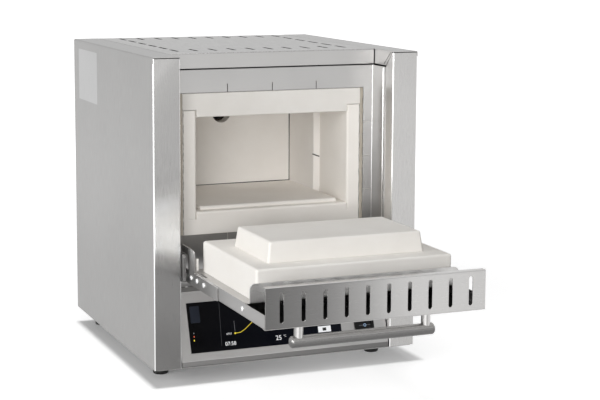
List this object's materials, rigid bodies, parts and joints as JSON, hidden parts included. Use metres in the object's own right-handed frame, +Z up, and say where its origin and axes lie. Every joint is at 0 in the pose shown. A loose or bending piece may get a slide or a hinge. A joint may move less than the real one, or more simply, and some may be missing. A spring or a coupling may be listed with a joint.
{
  "type": "muffle furnace",
  "caption": "Bench-top muffle furnace with a drop-down plug door, fibre-lined chamber, inclined touch panel, rocker switch and rear exhaust tube.",
  "frame": {"origin": "on the table, below the middle of the whole part with its door open", "axes": "+Z up, +Y to the rear of the furnace, +X to the right seen from the front"},
  "size_m": [0.46, 0.851, 0.5295],
  "materials": {
    "casing_steel": "ground stainless sheet, fine vertical grain",
    "inner_steel": "matt stainless sheet",
    "door_steel": "ground stainless sheet",
    "bright_steel": "turned and polished stainless bar",
    "fastener_steel": "bright stainless screws and pins",
    "fibre_white": "vacuum-formed ceramic fibre, matt off-white",
    "fibre_chamber": "ceramic fibre board, matt, slightly used",
    "fibre_blanket": "soft ceramic fibre blanket",
    "fibre_core": "fibre board layers inside the casing",
    "heating_wire": "oxidised resistance wire",
    "sensor_ceramic": "glazed ceramic sheath",
    "black_rubber": "matt black",
    "black_glass": "glossy black display front",
    "black_plastic": "fine-grained black",
    "flap_plastic": "dark blue-grey",
    "rocker_plastic": "glossy black",
    "terminal_plastic": "light polyamide",
    "heatsink_metal": "mill-finished extrusion",
    "socket_metal": "plated steel shell"
  },
  "bodies": {
    "casing": {"base_plate": "inner_steel", "blanket_strip_left": "fibre_blanket", "blanket_strip_right": "fibre_blanket", "cable_gland": "black_plastic", "collar_lintel": "fibre_white", "collar_post_left": "fibre_white", "collar_post_right": "fibre_white", "collar_sill": "fibre_white", "control_panel": "casing_steel", "controller_glass": "black_glass", "controller_housing": "black_plastic", "exhaust_flange": "inner_steel", "exhaust_spigot": "inner_steel", "exhaust_tube": "inner_steel", "feet": "black_rubber", "floor_insulation": "fibre_core", "front_frame": "inner_steel", "hearth_bed": "fibre_core", "hearth_plate": "fibre_chamber", "heating_element_left": "heating_wire", "heating_element_right": "heating_wire", "heating_plate_left": "fibre_chamber", "heating_plate_right": "fibre_chamber", "heatsink": "heatsink_metal", "hinge_block_left": "inner_steel", "hinge_block_right": "inner_steel", "hinge_pins": "fastener_steel", "inner_liner": "inner_steel", "liner_back": "inner_steel", "power_relay": "black_plastic", "rear_insulation": "fibre_core", "rear_panel": "casing_steel", "rear_screws": "fastener_steel", "rear_wall": "fibre_chamber", "retaining_pins": "fastener_steel", "roof_insulation": "fibre_core", "roof_slab": "fibre_chamber", "side_insulation_left": "fibre_core", "side_insulation_right": "fibre_core", "side_panel_left": "casing_steel", "side_panel_right": "casing_steel", "stop_pins": "fastener_steel", "switch_housing": "black_plastic", "terminal_block": "terminal_plastic", "thermocouple": "sensor_ceramic", "top_cover": "casing_steel", "usb_socket": "socket_metal"},
    "door": {"door_shell": "door_steel", "door_tray": "door_steel", "door_insulation": "fibre_white", "door_plug": "fibre_white", "plug_caps": "fibre_white", "hinge_arm_left": "door_steel", "hinge_arm_right": "door_steel", "handle_bar": "bright_steel", "handle_posts": "bright_steel", "handle_screws": "fastener_steel", "rail_screws": "fastener_steel"},
    "rocker": {"switch_rocker": "rocker_plastic"},
    "usb_flap": {"usb_cover": "flap_plastic"}
  },
  "joints": [
    {"name": "door_hinge", "type": "hinge", "parent": "casing", "child": "door", "pos_m": [0, -0.0765, 0.179], "axis": [-1, 0, 0], "range_deg": [0, 90]},
    {"name": "rocker_tilt", "type": "hinge", "parent": "casing", "child": "rocker", "pos_m": [0.1425, -0.06746, 0.07454], "axis": [1, 0, 0], "range_deg": [-16, 0]},
    {"name": "usb_flap_hinge", "type": "hinge", "parent": "casing", "child": "usb_flap", "pos_m": [-0.162, -0.05971, 0.10947], "axis": [0, -0.3375, -0.9413], "range_deg": [0, 100]}
  ]
}
